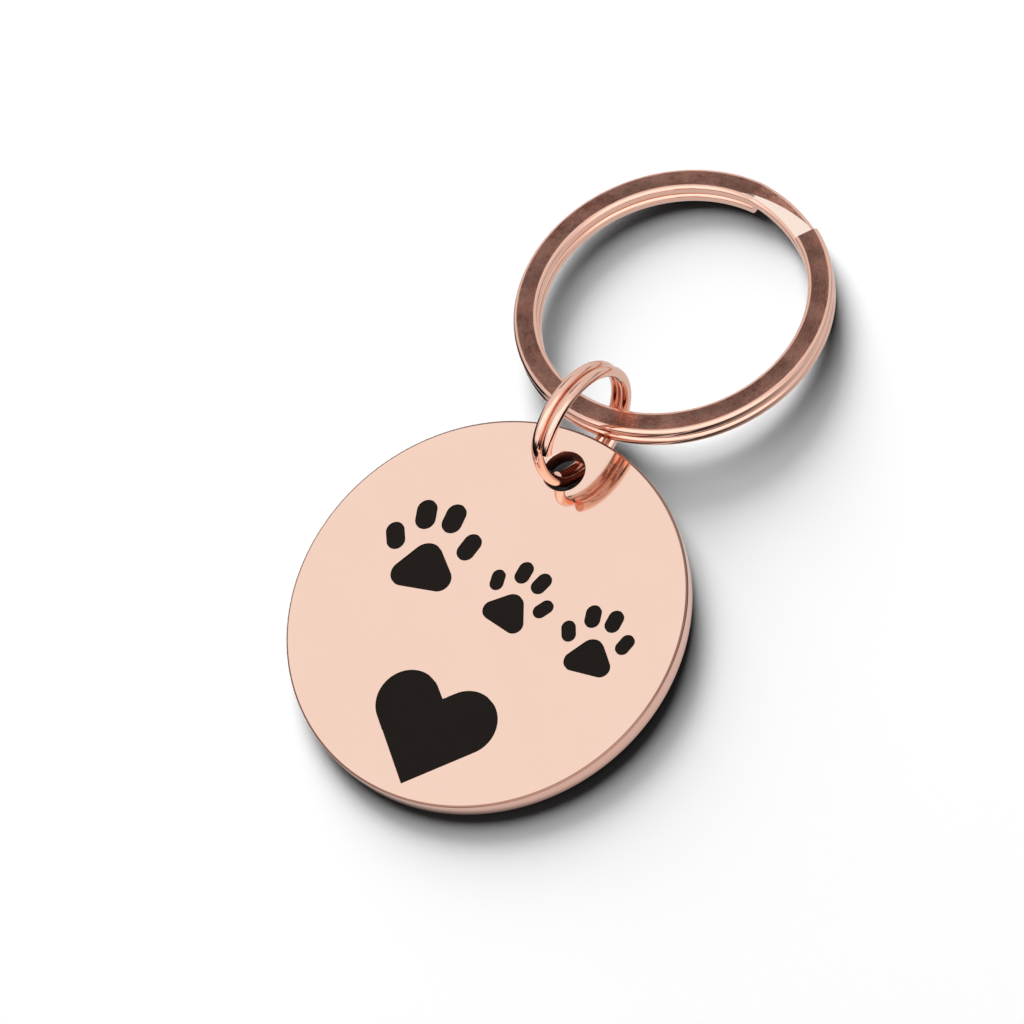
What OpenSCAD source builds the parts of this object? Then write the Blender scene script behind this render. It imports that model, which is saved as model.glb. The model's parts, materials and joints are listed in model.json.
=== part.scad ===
// Pet ID tag: a round metal disc on a small split ring and a larger key ring.
// It lies as it is set down on a table: the small ring stands between the disc
// and the key ring, and lifts the near side of both.
// Millimetres, +Z up, +X from the disc towards the key ring. The origin is on
// the table, under the middle of the whole thing.

/* [Tag disc] */
// Outside diameter of the disc
tag_d = 30; // [28:0.5:38]
// Thickness of the disc
tag_t = 1.6; // [1.2:0.1:2]
// Rounding of the disc's rim
tag_edge_r = 0.2; // [0.1:0.05:0.4]
// Diameter of the hole that the small ring passes through
hole_d = 3.1; // [3:0.1:3.5]
// Metal left between the hole and the rim
hole_web = 1.7; // [1.5:0.1:1.9]

/* [Small split ring] */
// Outside diameter of the small ring
small_ring_d = 9.7; // [9:0.1:11]
// Diameter of its round wire
small_wire_d = 0.8; // [0.6:0.05:0.85]
// Turn of its plane about the hole, seen from above
small_ring_turn = -7; // [-8:1:0]
// How far it is drawn from the hole's middle towards the disc's middle
small_ring_pull = 0.35; // [0:0.05:0.4]

/* [Key ring] */
// Outside diameter of the key ring
key_ring_d = 24; // [20:0.5:30]
// Width of its flat wire, across the ring
key_wire_w = 1.9; // [1.4:0.1:2.1]
// Thickness of its flat wire, along the ring's axis
key_wire_t = 0.9; // [0.8:0.05:1]
// Rounding of the flat wire's edges
key_wire_edge_r = 0.38; // [0.1:0.02:0.38]

/* [Engraving] */
// Depth of the engraved shapes
engrave_depth = 0.25; // [0.15:0.05:0.4]
// How far the black fill lies under the disc's face
fill_drop = 0.03; // [0.02:0.01:0.08]
// Width of the heart across its lobes
heart_w = 9.6; // [6:0.2:10]
// Height of the heart from its tip to the top of its lobes
heart_h = 8.1; // [5:0.1:8.4]
// Distance of the heart's tip from the rim
heart_tip_inset = 1; // [0.8:0.1:2]
// Height of the large paw print
large_paw_h = 7.6; // [5:0.2:8]
// Height of the two smaller paw prints
small_paw_h = 5.6; // [4:0.2:6]

/* [Fits] */
// Gap between the two turns of a split ring
turn_gap = 0.08; // [0.05:0.01:0.12]
// Gap between the small ring and what lies in it
seat_gap = 0.09; // [0.08:0.01:0.15]
// Gap between the disc's rim and the key ring as they lie
rim_gap = 0.35; // [0.3:0.05:0.6]
// Gap round the fill of an engraved shape
fill_gap = 0.02; // [0.01:0.01:0.04]

/* [Hidden] */
$fn = 96;

gold = [0.93, 0.72, 0.64];
dark_gold = [0.8, 0.56, 0.48];
black = [0.12, 0.1, 0.09];
overrun = 1;

// The disc: sizes from its middle
tag_r = tag_d / 2;
hole_r = hole_d / 2;
hole_x = tag_r - hole_web - hole_r;

// The key ring: two turns of flat wire, one on the other
key_r = key_ring_d / 2;
key_inner_r = key_r - key_wire_w;
key_pitch = key_wire_t + turn_gap;
key_t = key_wire_t + key_pitch;

// The small ring: two turns of round wire, side by side
small_r = small_ring_d / 2;
small_wire_r = small_wire_d / 2;
small_mid_r = small_r - small_wire_r;
small_inner_r = small_r - small_wire_d;
small_pitch = small_wire_d + turn_gap;

// How a split ring is wound: steps in a full turn, steps of the crossing from
// one turn to the other, and the direction in which the first turn's end lies
key_steps = 60;
key_cross_steps = 5;
key_first_end = -5;
small_steps = 48;
small_cross_steps = 9;
small_first_end = 217.5;
corner_points = 4;
round_points = 12;

// How the three lie. Disc and key ring rest on their far edges and, close to
// each other, on the inside of the small ring's lowest stretch of wire. Each
// depends on the others, so the four values are settled in a few passes:
// [tilt of the disc, tilt of the key ring, place of the small ring's middle,
// place of the key ring's middle], with places from the disc's middle.
bed_r = small_inner_r - seat_gap;
least_lift = small_wire_d + seat_gap;
settle_passes = 12;
first_tilt = 3;
function bed_height(x) = max(least_lift, small_r - sqrt(bed_r * bed_r - x * x));
function disc_tilt(a, small_x) =
  let (corner_x = (hole_x + hole_r) * cos(a))
  asin((bed_height(corner_x - small_x) - tag_edge_r * (1 - cos(a)))
    / (tag_r - tag_edge_r + hole_x + hole_r));
function key_tilt(b, small_x, key_x) =
  let (corner_x = key_x - key_inner_r * cos(b))
  asin((bed_height(corner_x - small_x) - key_wire_edge_r * (1 - cos(b)))
    / (key_r - key_wire_edge_r + key_inner_r));
function small_place(a) =
  let (drop = small_r - (tag_r + hole_x) * sin(a) - tag_t / 2)
  hole_x * cos(a) + sqrt(small_mid_r * small_mid_r - drop * drop) - small_ring_pull;
function key_place(a, b) = tag_r * cos(a) + rim_gap + key_r * cos(b);
function settled(passes) =
  passes == 0
    ? [first_tilt, first_tilt, small_place(first_tilt), key_place(first_tilt, first_tilt)]
    : let (last = settled(passes - 1))
      [
        disc_tilt(last[0], last[2]),
        key_tilt(last[1], last[2], last[3]),
        small_place(last[0]),
        key_place(last[0], last[1])
      ];
lie = settled(settle_passes);
tag_tilt = lie[0];
key_ring_tilt = lie[1];

// Heights of the two undersides' middles above the table
tag_z = (tag_r - tag_edge_r) * sin(tag_tilt) + tag_edge_r * (1 - cos(tag_tilt));
key_z = (key_r - key_wire_edge_r) * sin(key_ring_tilt)
  + key_wire_edge_r * (1 - cos(key_ring_tilt));

// The ends of the whole thing, which the origin lies midway between
tag_end = (tag_r - tag_edge_r) * cos(tag_tilt) + (tag_t - tag_edge_r) * sin(tag_tilt)
  + tag_edge_r;
key_end = lie[3] + (key_r - key_wire_edge_r) * cos(key_ring_tilt)
  + (key_t - key_wire_edge_r) * sin(key_ring_tilt) + key_wire_edge_r;
tag_x = (tag_end - key_end) / 2;
key_x = tag_x + lie[3];
small_reach = lie[2] - hole_x;
small_x = tag_x + hole_x + small_reach * cos(small_ring_turn);
small_y = small_reach * sin(small_ring_turn);

// The heart: two round lobes, two straight sides that meet at its tip, and two
// short straight sides that meet at the notch between the lobes
heart_tip_angle = 186;
heart_turn = 4.6;
heart_lobe_spread_share = 0.99;
heart_notch_depth_share = 0.56;
heart_lobe_r = heart_w / 2 / (1 + heart_lobe_spread_share);
heart_lobe_y = heart_lobe_r * heart_lobe_spread_share;
heart_lobe_x = heart_h - heart_lobe_r;
heart_side_angle = atan2(heart_lobe_y, heart_lobe_x)
  + asin(heart_lobe_r / norm([heart_lobe_x, heart_lobe_y]));
heart_notch_x = heart_h - heart_notch_depth_share * heart_lobe_r;
heart_notch_angle = atan2(heart_lobe_y, heart_lobe_x - heart_notch_x)
  - asin(heart_lobe_r / norm([heart_lobe_x - heart_notch_x, heart_lobe_y]));

// A paw print, in shares of its height: four toes, each two circles joined by
// a bar, as [across, up, radius, lean], and the pad's three round corners,
// counter-clockwise, as [across, up, radius].
toe_length_share = 0.1;
toe_places_shares = [
  [-0.37, 0.05, 0.095, 22], [-0.14, 0.31, 0.105, 8],
  [0.14, 0.31, 0.105, -8], [0.37, 0.05, 0.095, -22]
];
pad_places_shares = [[0, -0.09, 0.165], [-0.185, -0.27, 0.13], [0.185, -0.27, 0.13]];

// Places of the three prints on the disc: [towards the hole, to its left]
left_paw_at_shares = [0.15, 0.41];
middle_paw_at_shares = [0.1, -0.13];
right_paw_at_shares = [0.06, -0.6];
left_paw_turn = 14;
middle_paw_turn = -8;
right_paw_turn = 10;

// A round wire's outline, as points
function round_section(r) = [
  for (i = [0:round_points - 1]) let (a = i * 360 / round_points) r * [cos(a), sin(a)]
];

// A flat wire's outline, w across by h up with rounded edges, as points
function flat_section(w, h, edge_r) = [
  for (corner = [0:3], i = [0:corner_points - 1])
    let (
      a = 90 * (corner + i / (corner_points - 1)),
      side = corner == 0 || corner == 3 ? 1 : -1,
      end = corner < 2 ? 1 : -1
    )
    [side * (w / 2 - edge_r) + edge_r * cos(a), end * (h / 2 - edge_r) + edge_r * sin(a)]
];

// How far step i has climbed from the first turn, 0, to the second, 1
function climb_share(i, steps, cross_steps) =
  let (s = min(1, max(0, (i - steps + cross_steps) / cross_steps)))
  s * s * (3 - 2 * s);

// One unbroken wire of nearly two turns, as a list of outlines along its path
function split_ring_outlines(section, mid_r, pitch, steps, cross_steps, first_end) = [
  for (i = [0:2 * steps - cross_steps])
    let (a = first_end + i * 360 / steps, z = pitch * (climb_share(i, steps, cross_steps) - 0.5))
    [for (p = section) [(mid_r + p[0]) * cos(a), (mid_r + p[0]) * sin(a), z + p[1]]]
];

// The least distance between points of the two turns that lie side by side
function least_turn_gap(outlines, steps) = min([
  for (i = [0:len(outlines) - 1 - steps], p = outlines[i], q = outlines[i + steps]) norm(p - q)
]);

key_outlines = split_ring_outlines(
  flat_section(key_wire_w, key_wire_t, key_wire_edge_r),
  key_r - key_wire_w / 2, key_pitch, key_steps, key_cross_steps, key_first_end
);
small_outlines = split_ring_outlines(
  round_section(small_wire_r), small_mid_r, small_pitch,
  small_steps, small_cross_steps, small_first_end
);
echo(key_ring_least_turn_gap = least_turn_gap(key_outlines, key_steps));
echo(small_ring_least_turn_gap = least_turn_gap(small_outlines, small_steps));
echo(tag_tilt = tag_tilt, key_ring_tilt = key_ring_tilt);
echo(tag_x = tag_x, tag_z = tag_z, key_x = key_x, key_z = key_z, key_t = key_t);
echo(small_x = small_x, small_y = small_y, small_r = small_r);

// A closed skin over a list of outlines, with flat ends
module swept(outlines) {
  n = len(outlines[0]);
  last = len(outlines) - 1;
  sides = [
    for (i = [0:last - 1], j = [0:n - 1])
      let (
        a = i * n + j,
        b = i * n + (j + 1) % n,
        c = a + n,
        d = b + n
      )
      each [[a, b, d], [a, d, c]]
  ];
  first_cap = [for (j = [1:n - 2]) [0, j + 1, j]];
  last_cap = [for (j = [1:n - 2]) [last * n, last * n + j, last * n + j + 1]];
  polyhedron(
    points = [for (outline = outlines) each outline],
    faces = concat(sides, first_cap, last_cap)
  );
}

// Children drawn on the disc, with its underside's middle at the origin
module on_tag() {
  translate([tag_x, 0, tag_z]) rotate([0, -tag_tilt, 0]) children();
}

// Children drawn on the engraved floor, below the disc's face
module on_engraved_floor() {
  on_tag() translate([0, 0, tag_t - engrave_depth]) children();
}

// The same point on the other side of the heart
function mirrored(p) = [p[0], -p[1]];

// The heart's outline, drawn in from its edge by inset
module heart_outline(inset) {
  r = heart_lobe_r - inset;
  tip = [inset / sin(heart_side_angle), 0];
  lobe = [heart_lobe_x, heart_lobe_y];
  corner = lobe + r * [-sin(heart_side_angle), cos(heart_side_angle)];
  notch = [heart_notch_x - inset / sin(heart_notch_angle), 0];
  shoulder = lobe + r * [sin(heart_notch_angle), -cos(heart_notch_angle)];
  translate((tag_r - heart_tip_inset) * [cos(heart_tip_angle), sin(heart_tip_angle)])
    rotate(heart_turn) {
      polygon([
        tip, mirrored(corner), mirrored(lobe), mirrored(shoulder),
        notch, shoulder, lobe, corner
      ]);
      for (middle = [lobe, mirrored(lobe)]) translate(middle) circle(r);
    }
}

// The two points of the straight side that touches circles p and q, each
// [across, up, radius], on the right of the way from p to q
function straight_side(p, q) =
  let (
    way = [q[0] - p[0], q[1] - p[1]],
    a = atan2(way[1], way[0]) - acos((p[2] - q[2]) / norm(way)),
    out = [cos(a), sin(a)]
  )
  [[p[0], p[1]] + p[2] * out, [q[0], q[1]] + q[2] * out];

// A paw print's outline, drawn in from its edge by inset
module paw_outline(paw_h, at_shares, turn, inset) {
  translate(at_shares * tag_r) rotate(turn - 90) {
    for (toe = toe_places_shares) {
      toe_r = toe[2] * paw_h - inset;
      toe_length = toe_length_share * paw_h;
      translate([toe[0], toe[1]] * paw_h) rotate(toe[3]) {
        translate([-toe_r, 0]) square([2 * toe_r, toe_length]);
        circle(toe_r);
        translate([0, toe_length]) circle(toe_r);
      }
    }
    pads = [for (pad = pad_places_shares) pad * paw_h - [0, 0, inset]];
    polygon([for (i = [0:2]) each straight_side(pads[i], pads[(i + 1) % 3])]);
    for (pad = pads) translate([pad[0], pad[1]]) circle(pad[2]);
  }
}

module left_paw_outline(inset) {
  paw_outline(large_paw_h, left_paw_at_shares, left_paw_turn, inset);
}

module middle_paw_outline(inset) {
  paw_outline(small_paw_h, middle_paw_at_shares, middle_paw_turn, inset);
}

module right_paw_outline(inset) {
  paw_outline(small_paw_h, right_paw_at_shares, right_paw_turn, inset);
}

// A fill of the outlines given, on the engraved floor
module fill() {
  color(black) on_engraved_floor() linear_extrude(engrave_depth - fill_drop) children();
}

// Half of the disc's section, with its rim rounded top and bottom
module tag_section() {
  square([tag_r - tag_edge_r, tag_t]);
  translate([0, tag_edge_r]) square([tag_r, tag_t - 2 * tag_edge_r]);
  for (y = [tag_edge_r, tag_t - tag_edge_r]) translate([tag_r - tag_edge_r, y]) circle(tag_edge_r);
}

module tag_disc() {
  color(gold) difference() {
    on_tag() difference() {
      rotate_extrude() tag_section();
      translate([hole_x, 0, -overrun]) cylinder(r = hole_r, h = tag_t + 2 * overrun);
    }
    on_engraved_floor() linear_extrude(engrave_depth + overrun) {
      heart_outline(0);
      left_paw_outline(0);
      middle_paw_outline(0);
      right_paw_outline(0);
    }
  }
}

module heart_fill() {
  fill() heart_outline(fill_gap);
}

module left_paw_fill() {
  fill() left_paw_outline(fill_gap);
}

module middle_paw_fill() {
  fill() middle_paw_outline(fill_gap);
}

module right_paw_fill() {
  fill() right_paw_outline(fill_gap);
}

module small_split_ring() {
  color(gold) translate([small_x, small_y, small_r]) rotate([90, 0, small_ring_turn])
    swept(small_outlines);
}

module key_ring() {
  color(dark_gold) translate([key_x, 0, key_z]) rotate([0, key_ring_tilt, 0])
    translate([0, 0, key_t / 2]) swept(key_outlines);
}

tag_disc();
heart_fill();
left_paw_fill();
middle_paw_fill();
right_paw_fill();
small_split_ring();
key_ring();
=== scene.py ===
"""A round rose gold pet tag on a small split ring and a larger key ring, on white."""

import json
import math

import bmesh
import bpy
import numpy as np
from mathutils import Matrix, Vector
from mathutils.geometry import tessellate_polygon

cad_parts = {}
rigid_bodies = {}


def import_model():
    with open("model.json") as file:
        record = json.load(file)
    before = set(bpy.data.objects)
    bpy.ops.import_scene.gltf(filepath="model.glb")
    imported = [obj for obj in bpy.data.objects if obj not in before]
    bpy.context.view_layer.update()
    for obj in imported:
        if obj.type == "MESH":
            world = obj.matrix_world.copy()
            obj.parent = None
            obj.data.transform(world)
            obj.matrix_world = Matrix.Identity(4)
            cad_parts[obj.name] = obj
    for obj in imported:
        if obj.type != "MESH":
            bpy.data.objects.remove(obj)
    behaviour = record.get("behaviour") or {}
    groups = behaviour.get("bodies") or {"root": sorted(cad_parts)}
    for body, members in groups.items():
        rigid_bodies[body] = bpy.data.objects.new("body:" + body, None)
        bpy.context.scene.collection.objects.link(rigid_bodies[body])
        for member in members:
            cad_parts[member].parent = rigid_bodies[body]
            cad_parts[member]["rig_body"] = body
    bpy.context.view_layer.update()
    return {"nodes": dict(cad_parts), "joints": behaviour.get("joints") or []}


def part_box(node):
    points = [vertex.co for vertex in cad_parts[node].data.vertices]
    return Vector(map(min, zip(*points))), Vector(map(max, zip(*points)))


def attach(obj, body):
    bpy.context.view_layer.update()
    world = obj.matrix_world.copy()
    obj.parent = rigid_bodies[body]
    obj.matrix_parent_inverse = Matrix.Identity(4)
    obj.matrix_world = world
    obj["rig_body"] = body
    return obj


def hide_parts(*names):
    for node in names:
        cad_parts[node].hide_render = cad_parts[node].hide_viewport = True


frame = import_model()

# Sizes, the same as the part's
MM = 0.001
TAG_RADIUS = 15 * MM
TAG_THICKNESS = 1.6 * MM
RIM_ROUNDING = 0.2 * MM
HOLE_RADIUS = 1.55 * MM
HOLE_WEB = 1.7 * MM
HOLE_CHAMFER = 0.08 * MM
ENGRAVING_DEPTH = 0.25 * MM
HEART_WIDTH = 9.6 * MM
HEART_HEIGHT = 8.1 * MM
HEART_TIP_INSET = 1 * MM
LARGE_PAW = 7.6 * MM
SMALL_PAW = 5.6 * MM
KEY_RING_RADIUS = 12 * MM
KEY_WIRE_WIDTH = 1.9 * MM
KEY_WIRE_THICKNESS = 0.9 * MM
KEY_WIRE_EDGE = 0.38 * MM
SMALL_RING_RADIUS = 4.85 * MM
SMALL_WIRE = 0.8 * MM
TURN_GAP = 0.08 * MM

# How the two rings are wound, as angles round each ring
KEY_FIRST_END = math.radians(-5)
KEY_CROSSING = math.radians(30)
KEY_HIGHLIGHT_BEYOND = math.radians(14)
SMALL_FIRST_END = math.radians(217.5)
SMALL_CROSSING = math.radians(67.5)

# The stretch of the key ring's wire, measured along its middle, where a painted highlight lies on
# its crossing in place of the dark flat
KEY_MIDDLE_RADIUS = KEY_RING_RADIUS - KEY_WIRE_WIDTH / 2
KEY_HIGHLIGHT_STRETCH = (
    (2 * math.pi - KEY_CROSSING) * KEY_MIDDLE_RADIUS,
    (2 * math.pi + KEY_HIGHLIGHT_BEYOND) * KEY_MIDDLE_RADIUS,
)

# Where the engraved shapes lie on the tag, and how they are turned. A paw has its place towards
# the hole and to the left of it, as shares of the tag's radius, and its turn
HEART_TIP_ANGLE = math.radians(186)
HEART_TURN = math.radians(4.6)
HEART_LOBE_SPREAD_SHARE = 0.99
HEART_NOTCH_DEPTH_SHARE = 0.56
LEFT_PAW = (0.15, 0.41, math.radians(14 - 90))
MIDDLE_PAW = (0.1, -0.13, math.radians(-8 - 90))
RIGHT_PAW = (0.06, -0.6, math.radians(10 - 90))

# A paw's shapes, as shares of its size: each toe's place across and up, its radius and its lean
# in degrees, and the place and radius of each round corner of the pad
TOE_LENGTH_SHARE = 0.1
TOE_SHARES = (
    (-0.37, 0.05, 0.095, 22),
    (-0.14, 0.31, 0.105, 8),
    (0.14, 0.31, 0.105, -8),
    (0.37, 0.05, 0.095, -22),
)
PAD_SHARES = ((0, -0.09, 0.165), (-0.185, -0.27, 0.13), (0.185, -0.27, 0.13))

# Fineness of the round shapes, how near corners are merged, the angle past which an edge is
# sharp, and how far up a face of the tag points if it is the flat one
TAG_STEPS = 360
HOLE_STEPS = 120
RIM_STEPS = 10
ARC_STEP = math.radians(3)
KEY_TURN_STEPS = 260
SMALL_TURN_STEPS = 200
EDGE_STEPS = 9
MERGE_DISTANCE = 0.0005 * MM
SHARP_ANGLE = math.radians(50)
FACE_UP = 0.99

# Colours as the metal and the enamel show them, in linear light
TAG_GOLD = (0.915, 0.652, 0.538)
CLOUDED_GOLD = (0.89, 0.622, 0.505)
RIM_PAINTED_REFLECTION = (0.93, 0.56, 0.45)
RING_GOLD = (0.86, 0.53, 0.42)
CROSSING_HIGHLIGHT_GOLD = (0.95, 0.78, 0.68)
DULL_GOLD_AND_DARK_REFLECTION = (0.45, 0.195, 0.145)
DARK_REFLECTION_AND_SHADE_GOLD = (0.21, 0.084, 0.062)
EDGE_PAINTED_DARK_REFLECTION = (0.2, 0.09, 0.065)
ENAMEL_BLACK = (0.0135, 0.0105, 0.009)
ENAMEL_GRAIN = (0.018, 0.0145, 0.0125)
FLOOR_WHITE = (0.985, 0.985, 0.985)


def axes_place(centre, x_axis, y_axis, z_axis):
    """The matrix of a place with these axes."""
    turn = Matrix((x_axis, y_axis, z_axis)).transposed()
    return Matrix.Translation(centre) @ turn.to_4x4()


def ring_place(joint_name, across):
    """A ring's place: its joint turns it about its own axis, and across lies in its plane."""
    joint = next(j for j in frame["joints"] if j["name"] == joint_name)
    axis = Vector(joint["axis"]).normalized()
    side = Vector(across)
    return axes_place(Vector(joint["pos_m"]), side.cross(axis), side, axis)


def tag_place():
    """The tag's place: the middle of its box, and the slope of its face."""
    low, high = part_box("tag_disc")
    faces = frame["nodes"]["tag_disc"].data.polygons
    up = sum((f.normal * f.area for f in faces if f.normal.z > FACE_UP), Vector())
    up.normalize()
    side = Vector((0, 1, 0))
    return axes_place((low + high) / 2, side.cross(up), side, up)


TAG_PLACE = tag_place()
KEY_PLACE = ring_place("key_ring_travel", (0, 1, 0))
SMALL_PLACE = ring_place("ring_swing", (0, 0, 1))


class Sheet:
    """One node tree, with short calls that add to it."""

    def __init__(self, tree):
        self.tree = tree

    def add(self, kind, inputs=None, **settings):
        """A new node, with its settings, and its inputs given as values or as sockets."""
        made = self.tree.nodes.new(kind)
        for name, value in settings.items():
            setattr(made, name, value)
        for key, value in (inputs or {}).items():
            self.feed(made.inputs[key], value)
        return made

    def feed(self, socket, value):
        """Gives a socket a value, or links another socket to it."""
        if isinstance(value, bpy.types.NodeSocket):
            self.tree.links.new(value, socket)
        else:
            socket.default_value = value

    def math(self, operation, *values):
        return self.add(
            "ShaderNodeMath", dict(enumerate(values)), operation=operation
        ).outputs[0]

    def vector_math(self, operation, *values):
        made = self.add("ShaderNodeVectorMath", dict(enumerate(values)), operation=operation)
        return made.outputs["Value" if operation in ("LENGTH", "DISTANCE") else "Vector"]

    def ramp(self, value, low, high, start=0.0, end=1.0, style="SMOOTHSTEP"):
        """value, taken from low..high to start..end."""
        inputs = {0: value, 1: low, 2: high, 3: start, 4: end}
        return self.add("ShaderNodeMapRange", inputs, interpolation_type=style).outputs[0]

    def noise(self, vector, scale, detail, roughness):
        inputs = {"Vector": vector, "Scale": scale, "Detail": detail, "Roughness": roughness}
        return self.add("ShaderNodeTexNoise", inputs).outputs[0]

    def distance(self, x, y):
        """How far a point in a plane lies from its origin."""
        squares = self.math("ADD", self.math("MULTIPLY", x, x), self.math("MULTIPLY", y, y))
        return self.math("SQRT", squares)

    def blend(self, share, first, second):
        """A value between two."""
        inputs = {0: share, 2: first, 3: second}
        return self.add("ShaderNodeMix", inputs, data_type="FLOAT").outputs[0]

    def mix(self, share, first, second):
        """A colour between two."""
        made = self.add("ShaderNodeMix", data_type="RGBA")
        self.feed(made.inputs[0], share)
        self.feed(made.inputs[6], first if not isinstance(first, tuple) else (*first, 1))
        self.feed(made.inputs[7], second if not isinstance(second, tuple) else (*second, 1))
        return made.outputs[2]


def new_group(name, inputs, outputs):
    """A shader group with named sockets, its sheet, and its two end nodes."""
    tree = bpy.data.node_groups.new(name, "ShaderNodeTree")
    for label, kind, value in inputs:
        socket = tree.interface.new_socket(label, in_out="INPUT", socket_type=kind)
        if value is not None:
            socket.default_value = value
    for label, kind in outputs:
        tree.interface.new_socket(label, in_out="OUTPUT", socket_type=kind)
    sheet = Sheet(tree)
    return sheet, sheet.add("NodeGroupInput"), sheet.add("NodeGroupOutput")


def drawn_lines_group():
    """Fine lines that run along the third axis, as drawing or turning leaves them."""
    sheet, given, out = new_group(
        "drawn lines",
        [
            ("Place", "NodeSocketVector", None),
            ("Line width", "NodeSocketFloat", 0.04 * MM),
            ("Line length", "NodeSocketFloat", 3 * MM),
        ],
        [("Lines", "NodeSocketFloat")],
    )
    fine = sheet.math("DIVIDE", 1.0, given.outputs["Line width"])
    long = sheet.math("DIVIDE", 1.0, given.outputs["Line length"])
    scales = sheet.add("ShaderNodeCombineXYZ", {0: fine, 1: fine, 2: long}).outputs[0]
    stretched = sheet.vector_math("MULTIPLY", given.outputs["Place"], scales)
    sheet.feed(out.inputs["Lines"], sheet.noise(stretched, 1.0, detail=4.0, roughness=0.6))
    return sheet.tree


# The middle part of the noise, which the mottle stretches over 0 to 1
MOTTLE_RANGE = (0.36, 0.64)


def mottle_group():
    """Cloudy patches broken up by fine specks, from 0 to 1."""
    sheet, given, out = new_group(
        "mottle",
        [
            ("Place", "NodeSocketVector", None),
            ("Patch size", "NodeSocketFloat", 1 * MM),
            ("Speck size", "NodeSocketFloat", 0.12 * MM),
            ("Speck share", "NodeSocketFloat", 0.5),
        ],
        [("Mottle", "NodeSocketFloat")],
    )
    patch_scale = sheet.math("DIVIDE", 1.0, given.outputs["Patch size"])
    speck_scale = sheet.math("DIVIDE", 1.0, given.outputs["Speck size"])
    patches = sheet.noise(given.outputs["Place"], patch_scale, detail=3.0, roughness=0.6)
    specks = sheet.noise(given.outputs["Place"], speck_scale, detail=2.0, roughness=0.7)
    both = sheet.blend(given.outputs["Speck share"], patches, specks)
    sheet.feed(out.inputs["Mottle"], sheet.ramp(both, *MOTTLE_RANGE))
    return sheet.tree


DRAWN_LINES = drawn_lines_group()
MOTTLE = mottle_group()


def use_group(sheet, tree, inputs):
    """The first output of a group that is placed on a sheet with these inputs."""
    made = sheet.add("ShaderNodeGroup", node_tree=tree)
    for name, value in inputs.items():
        sheet.feed(made.inputs[name], value)
    return made.outputs[0]


def new_material(name):
    """A material with a bare Principled shader, and its sheet."""
    material = bpy.data.materials.new(name)
    material.use_nodes = True
    sheet = Sheet(material.node_tree)
    return material, sheet, material.node_tree.nodes["Principled BSDF"]


def local_place(sheet, place):
    """Object coordinates, taken to a piece's own middle and axes."""
    inputs = {
        "Vector": sheet.add("ShaderNodeTexCoord").outputs["Object"],
        "Location": place.to_translation(),
        "Rotation": place.to_euler(),
    }
    return sheet.add("ShaderNodeMapping", inputs, vector_type="TEXTURE").outputs[0]


def bumped(sheet, height, distance, normal=None):
    """A normal that the height tilts, on top of another one if that is given."""
    inputs = {"Height": height, "Distance": distance, "Strength": 1.0}
    if normal is not None:
        inputs["Normal"] = normal
    return sheet.add("ShaderNodeBump", inputs).outputs[0]


# How far inside the rim the dark line round the tag's face starts, where it is full, and how
# much it covers there. The line is a painted dark reflection on the rounding between face and rim
EDGE_LINE_START = 0.18 * MM
EDGE_LINE_FULL = 0.13 * MM
EDGE_LINE_SHARE = 0.9

# Where the turned rim is full, as a share of its rounding, and where the hole's wall of painted
# shade starts to fade and ends, as shares of its chamfer
RIM_FULL_SHARE = 0.6
HOLE_WALL_FADE_SHARE = 0.2
HOLE_WALL_END_SHARE = 0.4

# The tag's finish: each roughness as its least and most, over the clouds or the turned lines
CLOUD_SHARE = 0.35
FACE_ROUGHNESS = (0.03, 0.055)
RIM_LINE_RANGE = (0.2, 0.8)
RIM_ROUGHNESS = (0.1, 0.24)
HOLE_ROUGHNESS = 0.4
RIM_LINE_DEPTH = 0.004 * MM


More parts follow.
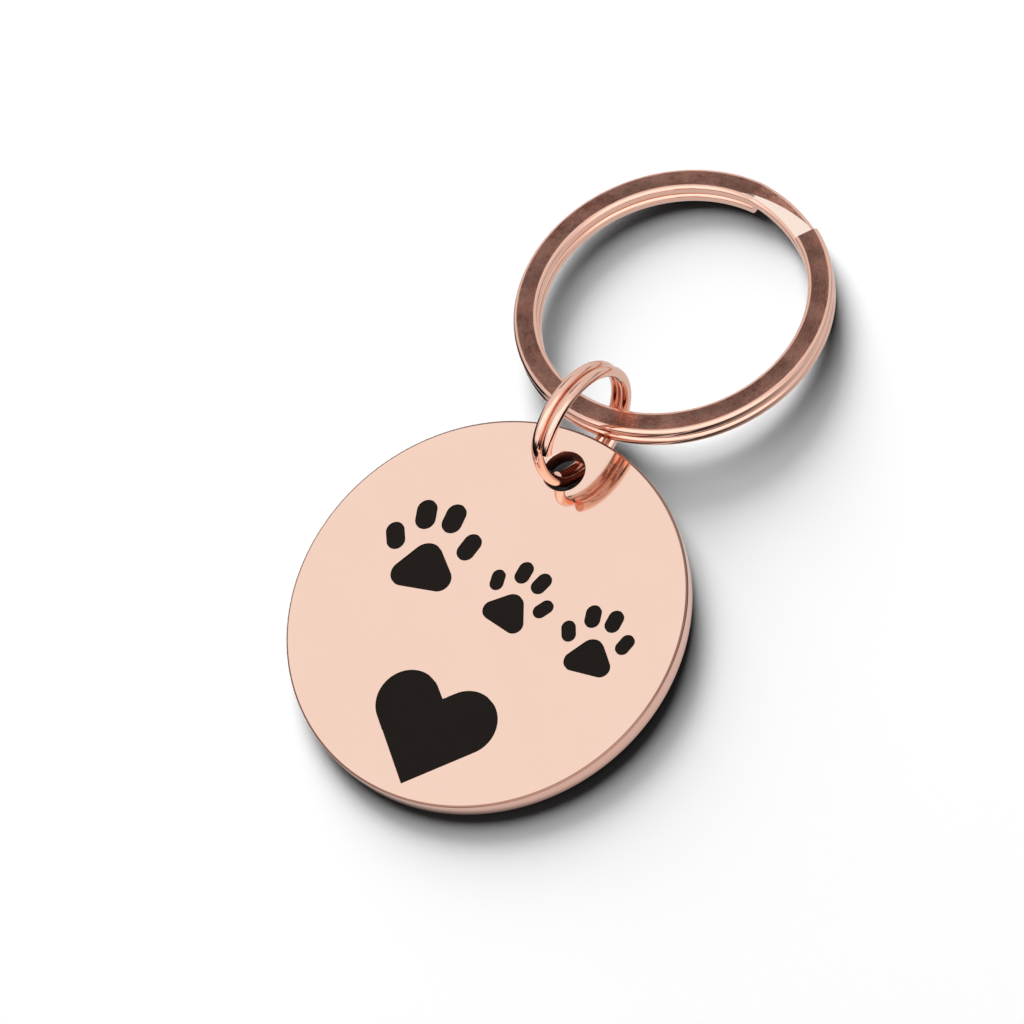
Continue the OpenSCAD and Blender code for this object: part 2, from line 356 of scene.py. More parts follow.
def tag_gold():
    """Mirror-polished plating: a bright face and a finely turned rim. The rim's deeper pink is a
    painted reflection, the dark line between face and rim a painted dark reflection, and the
    hole's dark wall painted shade.
    """
    material, sheet, shader = new_material("tag_gold")
    place = local_place(sheet, TAG_PLACE)
    x, y, z = sheet.add("ShaderNodeSeparateXYZ", {0: place}).outputs[:3]
    radius = sheet.distance(x, y)
    height = sheet.math("ABSOLUTE", z)
    rim_full = TAG_RADIUS - RIM_FULL_SHARE * RIM_ROUNDING
    on_rim = sheet.ramp(radius, TAG_RADIUS - RIM_ROUNDING, rim_full)
    near_face = sheet.ramp(height, TAG_THICKNESS / 2 - RIM_ROUNDING, TAG_THICKNESS / 2)
    line = sheet.ramp(radius, TAG_RADIUS - EDGE_LINE_START, TAG_RADIUS - EDGE_LINE_FULL)
    on_painted_edge = sheet.math("MULTIPLY", line, near_face)
    hole_x = sheet.math("SUBTRACT", x, TAG_RADIUS - HOLE_WEB - HOLE_RADIUS)
    from_hole = sheet.distance(hole_x, y)
    fade = HOLE_RADIUS + HOLE_WALL_FADE_SHARE * HOLE_CHAMFER
    end = HOLE_RADIUS + HOLE_WALL_END_SHARE * HOLE_CHAMFER
    off_wall = sheet.ramp(from_hole, fade, end)
    on_wall = sheet.math("SUBTRACT", 1.0, off_wall)
    clouds = use_group(
        sheet, MOTTLE,
        {"Place": place, "Patch size": 9 * MM, "Speck size": 1.5 * MM, "Speck share": 0.25},
    )
    turned_place = sheet.add("ShaderNodeCombineXYZ", {0: z, 1: z, 2: radius}).outputs[0]
    turned = use_group(
        sheet, DRAWN_LINES,
        {"Place": turned_place, "Line width": 0.07 * MM, "Line length": 30 * MM},
    )
    shade = sheet.mix(sheet.math("MULTIPLY", clouds, CLOUD_SHARE), TAG_GOLD, CLOUDED_GOLD)
    # painted reflection: the rim is the face's plating, its deeper pink stands for the pink
    # surroundings it reflects
    shade = sheet.mix(on_rim, shade, RIM_PAINTED_REFLECTION)
    # painted dark reflection: a dark line where the rounding turns from the face to the rim
    shade = sheet.mix(sheet.math("MULTIPLY", on_painted_edge, EDGE_LINE_SHARE), shade, EDGE_PAINTED_DARK_REFLECTION)
    # painted shade: the hole's wall is darkened to stand for the shade inside the hole
    shade = sheet.mix(on_wall, shade, DARK_REFLECTION_AND_SHADE_GOLD)
    sheet.feed(shader.inputs["Base Color"], shade)
    face_rough = sheet.ramp(clouds, 0.0, 1.0, *FACE_ROUGHNESS)
    rim_rough = sheet.ramp(turned, *RIM_LINE_RANGE, *RIM_ROUGHNESS)
    rough = sheet.blend(on_wall, sheet.blend(on_rim, face_rough, rim_rough), HOLE_ROUGHNESS)
    sheet.feed(shader.inputs["Roughness"], rough)
    lines = sheet.math("MULTIPLY", turned, on_rim)
    sheet.feed(shader.inputs["Normal"], bumped(sheet, lines, RIM_LINE_DEPTH))
    shader.inputs["Metallic"].default_value = 1.0
    return material


# How far under the wire's flat face the dark flat starts, and where it is full, and how softly it
# ends at the painted highlight wedge. The flat's dark colour is partly its dull finish and partly
# painted dark reflection
FLAT_START = 0.014 * MM
FLAT_FULL = 0.003 * MM
WEDGE_FADE = 0.06 * MM

# The wire's finish: the mottle is longer along the wire, and its specks take less of the flat's
# dark colour. Each roughness goes from the first value to the second over the mottle or the drawn
# lines
MOTTLE_STRETCH_SHARES = (1.0, 1.0, 0.45)
FLAT_DARK_SHARES = (1.0, 0.7)
FLAT_ROUGHNESS = (0.34, 0.2)
WIRE_LINE_RANGE = (0.3, 0.7)
WIRE_ROUGHNESS = (0.05, 0.11)
WIRE_LINE_DEPTH = 0.002 * MM
PIT_DEPTH = 0.006 * MM


def wire_gold(name, half_width, flat_height, highlight_stretch):
    """Polished wire. Its flat faces, flat_height from its middle, are dull and mottled, and darker
    with painted dark reflection. Along highlight_stretch a painted highlight lies as a bright
    wedge, all the wire wide at first and then only its inner side."""
    material, sheet, shader = new_material(name)
    place = sheet.add("ShaderNodeAttribute", attribute_name="wire_place").outputs["Vector"]
    across, up, along = sheet.add("ShaderNodeSeparateXYZ", {0: place}).outputs[:3]
    height = sheet.math("ABSOLUTE", up)
    start, end = highlight_stretch
    in_highlight_stretch = sheet.math(
        "MULTIPLY", sheet.math("GREATER_THAN", along, start), sheet.math("LESS_THAN", along, end)
    )
    border = sheet.ramp(along, start, end, half_width, -half_width - WEDGE_FADE, "LINEAR")
    past_border = sheet.math("SUBTRACT", border, across)
    highlit = sheet.math("MULTIPLY", in_highlight_stretch, sheet.ramp(past_border, 0.0, WEDGE_FADE))
    level = sheet.ramp(height, flat_height - FLAT_START, flat_height - FLAT_FULL)
    on_flat = sheet.math("MULTIPLY", level, sheet.math("SUBTRACT", 1.0, highlit))
    stretched = sheet.vector_math("MULTIPLY", place, MOTTLE_STRETCH_SHARES)
    mottle = use_group(
        sheet, MOTTLE,
        {"Place": stretched, "Patch size": 0.9 * MM, "Speck size": 0.13 * MM, "Speck share": 0.6},
    )
    lines = use_group(
        sheet, DRAWN_LINES,
        {"Place": place, "Line width": 0.06 * MM, "Line length": 4 * MM},
    )
    clouds = use_group(
        sheet, MOTTLE,
        {"Place": place, "Patch size": 1.8 * MM, "Speck size": 0.35 * MM, "Speck share": 0.25},
    )
    flat_dark_share = sheet.ramp(mottle, 0.0, 1.0, *FLAT_DARK_SHARES)
    # partly a dull mottled finish, partly painted dark reflection: the flats' dark colour stands
    # for the dark surroundings they reflect
    flat_dull_and_reflection = sheet.mix(clouds, DULL_GOLD_AND_DARK_REFLECTION, DARK_REFLECTION_AND_SHADE_GOLD)
    shade = sheet.mix(sheet.math("MULTIPLY", on_flat, flat_dark_share), RING_GOLD, flat_dull_and_reflection)
    # painted highlight: a bright wedge where the sloping crossing reflects bright light
    shade = sheet.mix(sheet.math("MULTIPLY", highlit, level), shade, CROSSING_HIGHLIGHT_GOLD)
    sheet.feed(shader.inputs["Base Color"], shade)
    flat_rough = sheet.ramp(mottle, 0.0, 1.0, *FLAT_ROUGHNESS)
    round_rough = sheet.ramp(lines, *WIRE_LINE_RANGE, *WIRE_ROUGHNESS)
    sheet.feed(shader.inputs["Roughness"], sheet.blend(on_flat, round_rough, flat_rough))
    fine = bumped(sheet, lines, WIRE_LINE_DEPTH)
    pitted = sheet.math("MULTIPLY", mottle, on_flat)
    sheet.feed(shader.inputs["Normal"], bumped(sheet, pitted, PIT_DEPTH, fine))
    shader.inputs["Metallic"].default_value = 1.0
    return material


# The enamel's finish: its roughness goes from the first value to the second over the grain
GRAIN_SHARE = 0.5
ENAMEL_ROUGHNESS = (0.55, 0.7)
GRAIN_DEPTH = 0.002 * MM
ENAMEL_SHINE = 0.03


def black_enamel():
    """Hard enamel, flatted back: a soft gloss with a faint grain."""
    material, sheet, shader = new_material("black_enamel")
    place = local_place(sheet, TAG_PLACE)
    grain = use_group(
        sheet, MOTTLE,
        {"Place": place, "Patch size": 1.6 * MM, "Speck size": 0.1 * MM, "Speck share": 0.5},
    )
    shade = sheet.mix(sheet.math("MULTIPLY", grain, GRAIN_SHARE), ENAMEL_BLACK, ENAMEL_GRAIN)
    sheet.feed(shader.inputs["Base Color"], shade)
    sheet.feed(shader.inputs["Roughness"], sheet.ramp(grain, 0.0, 1.0, *ENAMEL_ROUGHNESS))
    sheet.feed(shader.inputs["Normal"], bumped(sheet, grain, GRAIN_DEPTH))
    shader.inputs["Specular IOR Level"].default_value = ENAMEL_SHINE
    return material


def wire_rail(sheet, given):
    """The wire's middle line about the Z axis, and how far along it each point lies."""
    sweep = sheet.math("SUBTRACT", 4 * math.pi, given["Crossing"])
    turns = sheet.math("DIVIDE", sweep, 2 * math.pi)
    count = sheet.math("ROUND", sheet.math("MULTIPLY", turns, given["Points in a turn"]))
    line = sheet.add("GeometryNodeCurvePrimitiveLine").outputs[0]
    rail = sheet.add("GeometryNodeResampleCurve", {"Curve": line, "Count": count}).outputs[0]
    step = sheet.math("DIVIDE", sweep, sheet.math("SUBTRACT", count, 1.0))
    turned = sheet.math("MULTIPLY", sheet.add("GeometryNodeInputIndex").outputs[0], step)
    angle = sheet.math("ADD", given["First end"], turned)
    start = sheet.math("SUBTRACT", 2 * math.pi, given["Crossing"])
    climb = sheet.ramp(turned, start, 2 * math.pi, -0.5, 0.5, "LINEAR")
    spot = {
        0: sheet.math("MULTIPLY", given["Middle radius"], sheet.math("COSINE", angle)),
        1: sheet.math("MULTIPLY", given["Middle radius"], sheet.math("SINE", angle)),
        2: sheet.math("MULTIPLY", given["Pitch"], climb),
    }
    place = sheet.add("ShaderNodeCombineXYZ", spot).outputs[0]
    rail = sheet.add("GeometryNodeSetPosition", {"Geometry": rail, "Position": place}).outputs[0]
    rail = sheet.add("GeometryNodeSetCurveNormal", {"Curve": rail}, mode="Z_UP").outputs[0]
    kept = sheet.add("GeometryNodeCaptureAttribute", {"Geometry": rail})
    kept.capture_items.new("FLOAT", "along")
    sheet.feed(kept.inputs["along"], sheet.math("MULTIPLY", turned, given["Middle radius"]))
    return kept.outputs[0], kept.outputs["along"]


def wire_section(sheet, given):
    """The wire's section, with rounded corners, and where each point lies across and up in it."""
    section = sheet.add(
        "GeometryNodeCurvePrimitiveQuadrilateral",
        {"Width": given["Wire width"], "Height": given["Wire thickness"]},
    ).outputs[0]
    section = sheet.add(
        "GeometryNodeFilletCurve",
        {"Curve": section, "Count": given["Points in an edge"], "Radius": given["Edge rounding"]},
        mode="POLY",
    ).outputs[0]
    kept = sheet.add("GeometryNodeCaptureAttribute", {"Geometry": section})
    kept.capture_items.new("VECTOR", "section")
    sheet.feed(kept.inputs["section"], sheet.add("GeometryNodeInputPosition").outputs[0])
    across, up, _ = sheet.add(
        "ShaderNodeSeparateXYZ", {0: kept.outputs["section"]}
    ).outputs[:3]
    return kept.outputs[0], across, up


def split_ring_tree():
    """Nearly two turns of wire, crossing from one turn to the other, about the Z axis."""
    tree = bpy.data.node_groups.new("split ring", "GeometryNodeTree")
    sockets = (
        ("Middle radius", "NodeSocketFloat"),
        ("Pitch", "NodeSocketFloat"),
        ("Wire width", "NodeSocketFloat"),
        ("Wire thickness", "NodeSocketFloat"),
        ("Edge rounding", "NodeSocketFloat"),
        ("First end", "NodeSocketFloat"),
        ("Crossing", "NodeSocketFloat"),
        ("Points in a turn", "NodeSocketInt"),
        ("Points in an edge", "NodeSocketInt"),
        ("Material", "NodeSocketMaterial"),
    )
    for label, kind in sockets:
        tree.interface.new_socket(label, in_out="INPUT", socket_type=kind)
    tree.interface.new_socket("Geometry", in_out="OUTPUT", socket_type="NodeSocketGeometry")
    sheet = Sheet(tree)
    given = sheet.add("NodeGroupInput").outputs
    rail, along = wire_rail(sheet, given)
    section, across, up = wire_section(sheet, given)
    wire = sheet.add(
        "GeometryNodeCurveToMesh", {"Curve": rail, "Profile Curve": section, "Fill Caps": True}
    ).outputs[0]
    on_wire = sheet.add("ShaderNodeCombineXYZ", {0: across, 1: up, 2: along}).outputs[0]
    stored = sheet.add(
        "GeometryNodeStoreNamedAttribute",
        {"Geometry": wire, "Name": "wire_place", "Value": on_wire},
        data_type="FLOAT_VECTOR",
        domain="POINT",
    ).outputs[0]
    smooth = sheet.add("GeometryNodeSetShadeSmooth", {"Geometry": stored}).outputs[0]
    real = sheet.add("GeometryNodeRealizeInstances", {"Geometry": smooth}).outputs[0]
    dressed = sheet.add(
        "GeometryNodeSetMaterial", {"Geometry": real, "Material": given["Material"]}
    ).outputs[0]
    sheet.add("NodeGroupOutput", {"Geometry": dressed})
    return tree


SPLIT_RING = split_ring_tree()


def kept_piece(name, mesh, place, node):
    """A finished piece: its place goes into its mesh, and it stands for a CAD node."""
    mesh.transform(place)
    piece = bpy.data.objects.new(name, mesh)
    bpy.context.scene.collection.objects.link(piece)
    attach(piece, frame["nodes"][node]["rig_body"])
    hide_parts(node)
    return piece


def closed_outwards(mesh):
    """Merges doubles and turns every face outwards."""
    shape = bmesh.new()
    shape.from_mesh(mesh)
    bmesh.ops.remove_doubles(shape, verts=shape.verts, dist=MERGE_DISTANCE)
    bmesh.ops.recalc_face_normals(shape, faces=shape.faces)
    shape.to_mesh(mesh)
    shape.free()


def split_ring(name, node, place, sizes, material):
    """One split ring, made by the ring tree with these sizes."""
    holder = bpy.data.objects.new(name + "_maker", bpy.data.meshes.new(name + "_maker"))
    bpy.context.scene.collection.objects.link(holder)
    maker = holder.modifiers.new("split ring", "NODES")
    maker.node_group = SPLIT_RING
    for socket in SPLIT_RING.interface.items_tree:
        if socket.in_out == "INPUT":
            maker[socket.identifier] = sizes.get(socket.name, material)
    graph = bpy.context.evaluated_depsgraph_get()
    mesh = bpy.data.meshes.new_from_object(holder.evaluated_get(graph))
    bpy.data.objects.remove(holder)
    mesh.name = name
    closed_outwards(mesh)
    mesh.set_sharp_from_angle(angle=SHARP_ANGLE)
    return kept_piece(name, mesh, place, node)


def arc(centre, radius, start, end):
    """Points on an arc, both ends included."""
    steps = max(2, round(abs(end - start) / ARC_STEP))
    return [
        (centre[0] + radius * math.cos(a), centre[1] + radius * math.sin(a))
        for a in np.linspace(start, end, steps + 1)
    ]


def circle(centre, radius, steps):
    return [
        (centre[0] + radius * math.cos(a), centre[1] + radius * math.sin(a))
        for a in np.linspace(0, 2 * math.pi, steps, endpoint=False)
    ]


def moved(points, shift, turn):
    """Points turned, then shifted."""
    c, s = math.cos(turn), math.sin(turn)
    return [(shift[0] + c * x - s * y, shift[1] + s * x + c * y) for x, y in points]


def heart_outline():
    """Two round lobes, and two straight sides that meet at the tip."""
    lobe_radius = HEART_WIDTH / 2 / (1 + HEART_LOBE_SPREAD_SHARE)
    lobe_y = lobe_radius * HEART_LOBE_SPREAD_SHARE
    lobe_x = HEART_HEIGHT - lobe_radius
    side = math.atan2(lobe_y, lobe_x) + math.asin(lobe_radius / math.hypot(lobe_x, lobe_y))
    notch_x = HEART_HEIGHT - HEART_NOTCH_DEPTH_SHARE * lobe_radius
    to_lobe = (lobe_y, lobe_x - notch_x)
    shoulder = math.atan2(*to_lobe) - math.asin(lobe_radius / math.hypot(*to_lobe))
    left = arc((lobe_x, lobe_y), lobe_radius, math.pi / 2 + side, shoulder - math.pi / 2)
    right = [(x, -y) for x, y in reversed(left)]
    tip = TAG_RADIUS - HEART_TIP_INSET
    shift = (tip * math.cos(HEART_TIP_ANGLE), tip * math.sin(HEART_TIP_ANGLE))
    return moved([(0, 0), *left, (notch_x, 0), *right], shift, HEART_TURN)


def toe_outline(size, across, up, radius, lean):
    """Two circles joined by a bar."""
    radius = radius * size
    top = arc((0, TOE_LENGTH_SHARE * size), radius, 0, math.pi)
    bottom = arc((0, 0), radius, math.pi, 2 * math.pi)
    return moved(top + bottom, (across * size, up * size), math.radians(lean))


def pad_outline(size):
    """Round corners, counter-clockwise, joined by straight sides that touch them."""
    sides = []
    for first, second in zip(PAD_SHARES, PAD_SHARES[1:] + PAD_SHARES[:1]):
        way = Vector(second[:2]) - Vector(first[:2])
        lean = math.acos((first[2] - second[2]) / way.length)
        sides.append(math.atan2(way.y, way.x) - lean)
    points = []
    for (across, up, radius), before, after in zip(PAD_SHARES, [sides[-1], *sides], sides):
        end = before + (after - before) % (2 * math.pi)
        points += arc((across * size, up * size), radius * size, before, end)
    return points


def paw_outlines(size, paw):
    """Four toes and a pad, at their place on the tag."""
    towards_hole, to_left, turn = paw
    shift = (towards_hole * TAG_RADIUS, to_left * TAG_RADIUS)
    shapes = [toe_outline(size, *toe) for toe in TOE_SHARES] + [pad_outline(size)]
    return [moved(shape, shift, turn) for shape in shapes]


def loop_of(shape, points, height):
    """The corners of an outline, all at one height."""
    return [shape.verts.new((x, y, height)) for x, y in points]


def wall(shape, lower, upper):
    """Faces between two loops of as many points."""
    for i, corner in enumerate(lower):
        j = (i + 1) % len(lower)
        shape.faces.new((corner, lower[j], upper[j], upper[i]))


def plate(shape, loops):
    """A flat face inside the first loop, with the others as holes, and sharp borders."""
    corners = [v for loop in loops for v in loop]
    for triangle in tessellate_polygon([[v.co for v in loop] for loop in loops]):
        shape.faces.new([corners[i] for i in triangle])
    for loop in loops:
        for i, corner in enumerate(loop):
            shape.edges.get((loop[i - 1], corner)).smooth = False


def tag_disc(material):
    """The disc: a rounded rim, a chamfered hole, and pockets for the enamel."""
    shape = bmesh.new()
    half = TAG_THICKNESS / 2
    hole_at = (TAG_RADIUS - HOLE_WEB - HOLE_RADIUS, 0)
    rim = []
    for side in (-1, 1):
        for step in np.linspace(0, math.pi / 2, RIM_STEPS + 1):
            rise = step if side == 1 else math.pi / 2 - step
            radius = TAG_RADIUS - RIM_ROUNDING * (1 - math.cos(rise))
            height = side * (half - RIM_ROUNDING * (1 - math.sin(rise)))
            rim.append(loop_of(shape, circle((0, 0), radius, TAG_STEPS), height))
    for lower, upper in zip(rim, rim[1:]):
        wall(shape, lower, upper)
    hole = []
    for wider, height in (
        (HOLE_CHAMFER, -half),
        (0, HOLE_CHAMFER - half),
        (0, half - HOLE_CHAMFER),
        (HOLE_CHAMFER, half),
    ):
        hole.append(loop_of(shape, circle(hole_at, HOLE_RADIUS + wider, HOLE_STEPS), height))
    for lower, upper in zip(hole, hole[1:]):
        wall(shape, lower, upper)
    engraved = [heart_outline()]
    for size, paw in ((LARGE_PAW, LEFT_PAW), (SMALL_PAW, MIDDLE_PAW), (SMALL_PAW, RIGHT_PAW)):
        engraved += paw_outlines(size, paw)
    borders = []
    for outline in engraved:
        border = loop_of(shape, outline, half)
        floor = loop_of(shape, outline, half - ENGRAVING_DEPTH)
        wall(shape, floor, border)
        plate(shape, [floor])
        borders.append(border)
    plate(shape, [rim[-1], hole[-1], *borders])
    plate(shape, [rim[0], hole[0]])
    bmesh.ops.recalc_face_normals(shape, faces=shape.faces)
    for face in shape.faces:
        face.smooth = True
    mesh = bpy.data.meshes.new("tag_disc_polished")
    shape.to_mesh(mesh)
    shape.free()
    mesh.materials.append(material)
    return kept_piece("tag_disc_polished", mesh, TAG_PLACE, "tag_disc")


def dress_fills(material):
    """The enamel fills stay as they are in the frame."""
    for name in ("heart_fill", "left_paw_fill", "middle_paw_fill", "right_paw_fill"):
        fill = frame["nodes"][name]
        fill.data.materials.clear()
        fill.data.materials.append(material)


tag_disc(tag_gold())
dress_fills(black_enamel())
split_ring(
    "key_ring_wire",
    "key_ring",
    KEY_PLACE,
    {
        "Middle radius": KEY_MIDDLE_RADIUS,
        "Pitch": KEY_WIRE_THICKNESS + TURN_GAP,
        "Wire width": KEY_WIRE_WIDTH,
        "Wire thickness": KEY_WIRE_THICKNESS,
        "Edge rounding": KEY_WIRE_EDGE,
        "First end": KEY_FIRST_END,
        "Crossing": KEY_CROSSING,
        "Points in a turn": KEY_TURN_STEPS,
        "Points in an edge": EDGE_STEPS,
    },
    wire_gold("key_ring_gold", KEY_WIRE_WIDTH / 2, KEY_WIRE_THICKNESS / 2, KEY_HIGHLIGHT_STRETCH),
)
split_ring(
    "small_ring_wire",
    "small_split_ring",
    SMALL_PLACE,
    {
        "Middle radius": SMALL_RING_RADIUS - SMALL_WIRE / 2,
        "Pitch": SMALL_WIRE + TURN_GAP,
        "Wire width": SMALL_WIRE,
        "Wire thickness": SMALL_WIRE,
        "Edge rounding": SMALL_WIRE / 2,
        "First end": SMALL_FIRST_END,
        "Crossing": SMALL_CROSSING,
        "Points in a turn": SMALL_TURN_STEPS,
        "Points in an edge": EDGE_STEPS,
    },
    wire_gold("small_ring_gold", SMALL_WIRE, SMALL_WIRE, (0, 0)),
)

# The floor. Metal shows it bright close to the object, further out on the disc's left side, and
# on the right, and dark elsewhere. The brightness starts at the disc's foot, from FOOT_START to
# FOOT_END past its rim, and the painted shade under the disc fades from UNDER_START to UNDER_END
# inside it
FLOOR_SIZE = 6.0
FLOOR_GLOW = 0.75
FLOOR_GLOW_SHARE = 0.9
FLOOR_DARK = (0.06, 0.06, 0.06)
GLOW_REACH = 1.4 * MM
GLOW_FADE = 0.4 * MM
GLOW_LEFT = (-12 * MM, -4 * MM)
GLOW_LEFT_REACH = 9 * MM
GLOW_RIGHT = 10 * MM
GLOW_RIGHT_FADE = 10 * MM
FOOT_START = -0.3 * MM
FOOT_END = 0.6 * MM
PAINTED_UNDER_SHADE = 0.8
UNDER_START = 1.3 * MM
UNDER_END = 0.9 * MM

# Two soft lamps, one above the other, each with its height as an angle, its size and its power,
# and the faint even light on dull surfaces
LAMP_TURN = math.radians(42)
LAMP_DISTANCE = 2.4
LOW_LAMP = (math.radians(22), 1.56, 90)
HIGH_LAMP = (math.radians(48), 2.3, 46)
SOFT_LIGHT = 0.02

# The room that metal shows, with directions as parts of a unit vector. Each side has its angle
# about the object, how near to it a direction must point, how high up it ends, and its level.
# The wall's level rises over WALL_RISE. The card is a dim patch beyond its corner
ROOM_LEVEL = 0.85
ROOM_TOP = (0.6, 0.85)
WALL_TURN = math.radians(-150)
WALL_NEAR = (0.26, 0.64)
WALL_RISE = (0.42, 0.6)
WALL_TOP = (0.9, 0.97)
WALL_LOW_LEVEL = 1.2
WALL_LEVEL = 1.6
LEFT_GAP_TURN = math.radians(145)
LEFT_GAP_NEAR = (0.5, 0.75)
LEFT_GAP_TOP = (0.08, 0.24)
LEFT_GAP_LEVEL = 0.02
RIGHT_GAP_TURN = math.radians(-45)
RIGHT_GAP_NEAR = (0.85, 0.95)
RIGHT_GAP_TOP = (0.1, 0.3)
RIGHT_GAP_LEVEL = 0.35
CARD_CORNER = (0.34, 0.23, 0.6)
CARD_EDGE = 0.04
CARD_LEVEL = 0.3


def direct_share(sheet):
    """1 where the eye sees this itself or in metal, and 0 where it only lights a dull surface."""
    rays = sheet.add("ShaderNodeLightPath").outputs
    return sheet.math("LESS_THAN", rays["Diffuse Depth"], 0.5)


def seen_in_metal(sheet):
    """1 where the eye sees this in metal."""
    rays = sheet.add("ShaderNodeLightPath").outputs
    return sheet.math("MULTIPLY", rays["Is Glossy Ray"], direct_share(sheet))


def floor_white():
    """White to the eye, with painted shade right under the disc. In metal it glows near the object.
    """
    material, sheet, shader = new_material("floor_white")
    shader.inputs["Roughness"].default_value = 1.0
    shader.inputs["Specular IOR Level"].default_value = 0.0
    place = sheet.add("ShaderNodeTexCoord").outputs["Object"]
    mirrored = seen_in_metal(sheet)
    x = sheet.add("ShaderNodeSeparateXYZ", {0: place}).outputs[0]
    near = sheet.ramp(x, GLOW_RIGHT - GLOW_RIGHT_FADE, GLOW_RIGHT + GLOW_RIGHT_FADE)
    from_disc = sheet.vector_math("DISTANCE", place, tuple(TAG_PLACE.to_translation()))
    from_key = sheet.vector_math("DISTANCE", place, tuple(KEY_PLACE.to_translation()))
    disc_reach = sheet.ramp(x, *GLOW_LEFT, GLOW_LEFT_REACH, GLOW_REACH)
    for distance, reach, radius in (
        (from_disc, disc_reach, TAG_RADIUS),
        (from_key, GLOW_REACH, KEY_RING_RADIUS),
    ):
        short = sheet.math("SUBTRACT", distance, reach)
        close = sheet.ramp(short, radius - GLOW_FADE, radius + GLOW_FADE, 1.0, 0.0)
        near = sheet.math("MAXIMUM", near, close)
    clear = sheet.ramp(from_disc, TAG_RADIUS + FOOT_START, TAG_RADIUS + FOOT_END)
    bounced = sheet.math("SUBTRACT", 1.0, direct_share(sheet))
    far = sheet.math("MULTIPLY", mirrored, sheet.math("SUBTRACT", 1.0, near))
    under_rim = (TAG_RADIUS - UNDER_START, TAG_RADIUS - UNDER_END)
    # painted shade: the floor's colour darkened right under the disc
    painted_under_shade = sheet.ramp(from_disc, *under_rim, PAINTED_UNDER_SHADE, 0.0)
    dark = sheet.math("MAXIMUM", sheet.math("MAXIMUM", bounced, far), painted_under_shade)
    sheet.feed(shader.inputs["Base Color"], sheet.mix(dark, FLOOR_WHITE, FLOOR_DARK))
    glow = sheet.math("MULTIPLY", sheet.math("MULTIPLY", near, clear), FLOOR_GLOW)
    emission = sheet.add("ShaderNodeEmission", {"Strength": glow}).outputs[0]
    share = sheet.math("MULTIPLY", sheet.math("MULTIPLY", mirrored, clear), FLOOR_GLOW_SHARE)
    both = sheet.add("ShaderNodeMixShader", {0: share, 1: shader.outputs[0], 2: emission})
    sheet.feed(material.node_tree.nodes["Material Output"].inputs["Surface"], both.outputs[0])
    return material


def white_floor():
    """A large flat sheet under the object."""
    mesh = bpy.data.meshes.new("floor")
    half = FLOOR_SIZE / 2
    corners = [(-half, -half, 0), (half, -half, 0), (half, half, 0), (-half, half, 0)]
    mesh.from_pydata(corners, [], [(0, 1, 2, 3)])
    mesh.materials.append(floor_white())
    floor = bpy.data.objects.new("floor", mesh)
    bpy.context.scene.collection.objects.link(floor)


def facing(sheet, x, y, turn, near):
    """1 where a direction points to this angle about the object, and 0 well away from it."""
    along = sheet.math(
        "ADD", sheet.math("MULTIPLY", x, math.cos(turn)), sheet.math("MULTIPLY", y, math.sin(turn))
    )
    return sheet.ramp(sheet.math("DIVIDE", along, sheet.distance(x, y)), *near)


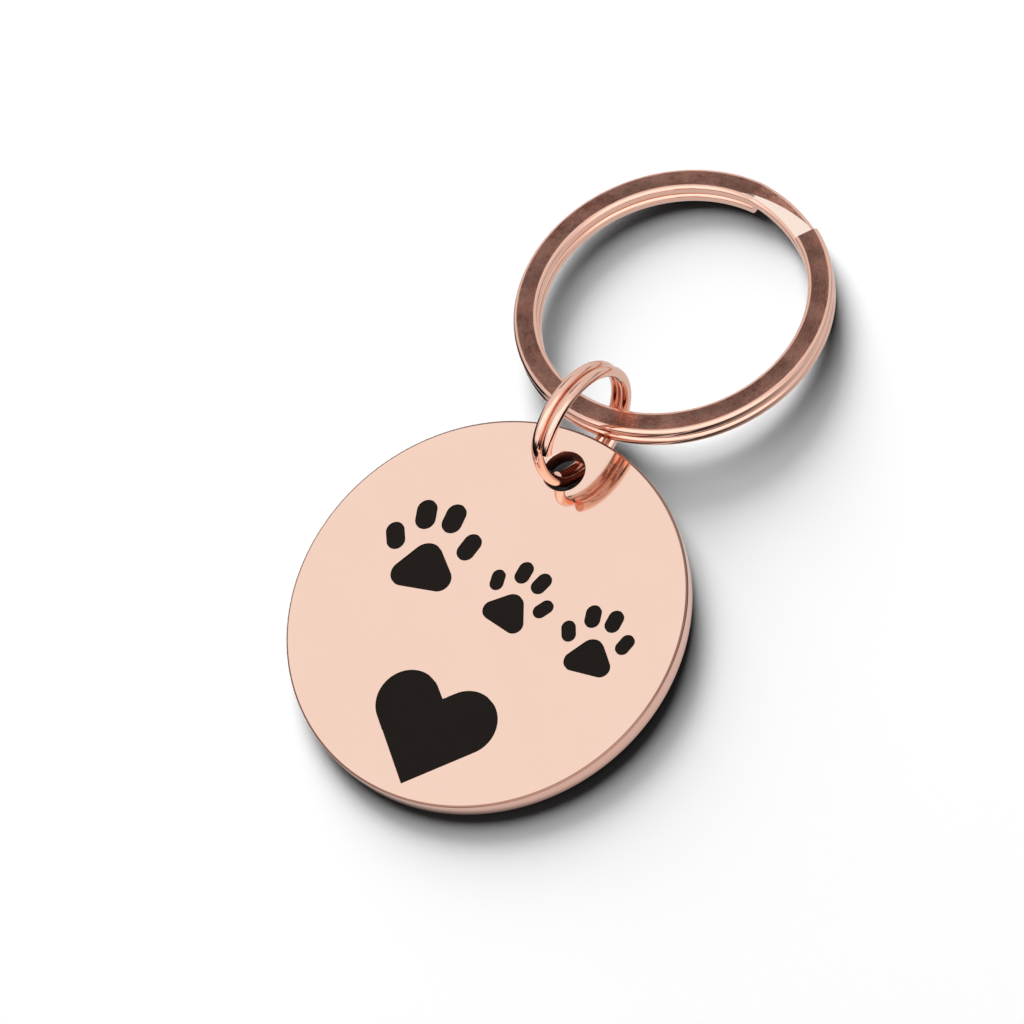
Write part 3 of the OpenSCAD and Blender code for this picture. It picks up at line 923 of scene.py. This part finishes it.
def white_world():
    """White behind the object, even and faint on dull surfaces, and a room in its metal."""
    world = bpy.data.worlds.new("studio")
    bpy.context.scene.world = world
    world.use_nodes = True
    sheet = Sheet(world.node_tree)
    background = world.node_tree.nodes["Background"]
    rays = sheet.add("ShaderNodeLightPath").outputs
    direction = sheet.add("ShaderNodeTexCoord").outputs["Generated"]
    x, y, z = sheet.add("ShaderNodeSeparateXYZ", {0: direction}).outputs[:3]
    room = sheet.ramp(z, *ROOM_TOP, ROOM_LEVEL, 1.0)
    wall = sheet.ramp(z, *WALL_RISE, WALL_LOW_LEVEL, WALL_LEVEL)
    for turn, near, top, level in (
        (WALL_TURN, WALL_NEAR, WALL_TOP, wall),
        (LEFT_GAP_TURN, LEFT_GAP_NEAR, LEFT_GAP_TOP, LEFT_GAP_LEVEL),
        (RIGHT_GAP_TURN, RIGHT_GAP_NEAR, RIGHT_GAP_TOP, RIGHT_GAP_LEVEL),
    ):
        below = sheet.ramp(z, *top, 1.0, 0.0)
        side = sheet.math("MULTIPLY", facing(sheet, x, y, turn, near), below)
        room = sheet.blend(side, room, level)
    card = 1.0
    for value, corner in zip((x, y, z), CARD_CORNER):
        inside = sheet.ramp(value, corner - CARD_EDGE, corner + CARD_EDGE)
        card = sheet.math("MULTIPLY", card, inside)
    room = sheet.blend(card, room, CARD_LEVEL)
    level = sheet.blend(seen_in_metal(sheet), SOFT_LIGHT, room)
    seen = sheet.math("MAXIMUM", rays["Is Camera Ray"], rays["Is Transmission Ray"])
    sheet.feed(background.inputs["Strength"], sheet.blend(seen, level, 1.0))
    background.inputs["Color"].default_value = (1, 1, 1, 1)


def soft_lamp(name, height, size, power):
    """A round lamp behind the object, which metal doesn't show."""
    lamp = bpy.data.lights.new(name, "AREA")
    lamp.shape = "DISK"
    lamp.size = size
    lamp.energy = power
    holder = bpy.data.objects.new(name, lamp)
    bpy.context.scene.collection.objects.link(holder)
    out = Vector((
        math.sin(LAMP_TURN) * math.cos(height),
        math.cos(LAMP_TURN) * math.cos(height),
        math.sin(height),
    ))
    holder.location = out * LAMP_DISTANCE
    holder.rotation_euler = out.to_track_quat("Z", "Y").to_euler()
    holder.visible_glossy = False


# Where the camera stands, which way it looks, what is up for it, and its lens in millimetres
CAMERA_PLACE = Vector((-61.82, -90.76, 176.67)) * MM
CAMERA_LOOK = Vector((0.2774, 0.4514, -0.8481))
CAMERA_UP = Vector((0.8158, 0.3555, 0.4561))
CAMERA_LENS = 100
CAMERA_SENSOR = 36


def photo_camera():
    """The camera, fitted to the photograph and aimed as it was."""
    lens = bpy.data.cameras.new("photo_camera")
    lens.lens = CAMERA_LENS
    lens.sensor_width = CAMERA_SENSOR
    camera = bpy.data.objects.new("photo_camera", lens)
    bpy.context.scene.collection.objects.link(camera)
    back = -CAMERA_LOOK.normalized()
    side = CAMERA_UP.cross(back).normalized()
    camera.matrix_world = axes_place(CAMERA_PLACE, side, back.cross(side), back)
    bpy.context.scene.camera = camera


white_floor()
white_world()
soft_lamp("low_lamp", *LOW_LAMP)
soft_lamp("high_lamp", *HIGH_LAMP)
photo_camera()
bpy.context.scene.view_settings.view_transform = "Standard"
